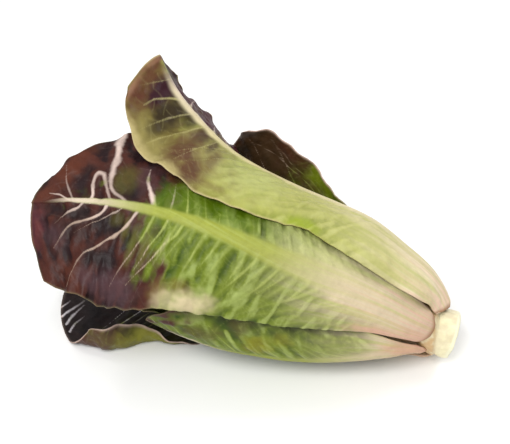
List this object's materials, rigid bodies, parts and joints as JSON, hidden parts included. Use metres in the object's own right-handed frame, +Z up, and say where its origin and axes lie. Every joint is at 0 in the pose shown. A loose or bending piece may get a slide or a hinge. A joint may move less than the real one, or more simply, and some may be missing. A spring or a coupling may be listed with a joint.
{
  "type": "romaine lettuce head",
  "caption": "Red romaine lettuce head lying on its side: a trimmed butt, broad ribbed outer leaves with red tips, and a heart of leaves wrapped one inside the next.",
  "frame": {"origin": "bottom centre of the lying head's bounding box, on the surface it lies on", "axes": "+X from the leaf tips towards the trimmed butt, along the head; +Y away from the viewed side; +Z up from the surface"},
  "size_m": [0.2361, 0.1378, 0.1409],
  "materials": {
    "stem_flesh": "cut vegetable flesh, moist and matte",
    "red_leaf": "waxy leaf, semi-gloss",
    "olive_leaf": "waxy leaf, semi-gloss",
    "dark_leaf": "waxy leaf, glossy",
    "green_leaf": "waxy leaf, semi-gloss",
    "heart_leaf": "pale leaf, semi-gloss"
  },
  "bodies": {
    "root": {"stem": "stem_flesh", "outer_leaf_front": "red_leaf", "outer_leaf_top": "olive_leaf", "outer_leaf_back": "dark_leaf", "outer_leaf_floor": "dark_leaf", "outer_leaf_low": "green_leaf", "inner_leaf_01": "green_leaf", "inner_leaf_02": "green_leaf", "inner_leaf_03": "green_leaf", "inner_leaf_04": "green_leaf", "inner_leaf_05": "green_leaf", "inner_leaf_06": "heart_leaf", "inner_leaf_07": "heart_leaf", "inner_leaf_08": "heart_leaf", "inner_leaf_09": "heart_leaf", "inner_leaf_10": "heart_leaf", "inner_leaf_11": "heart_leaf", "inner_leaf_12": "heart_leaf", "inner_leaf_13": "heart_leaf"}
  },
  "joints": []
}
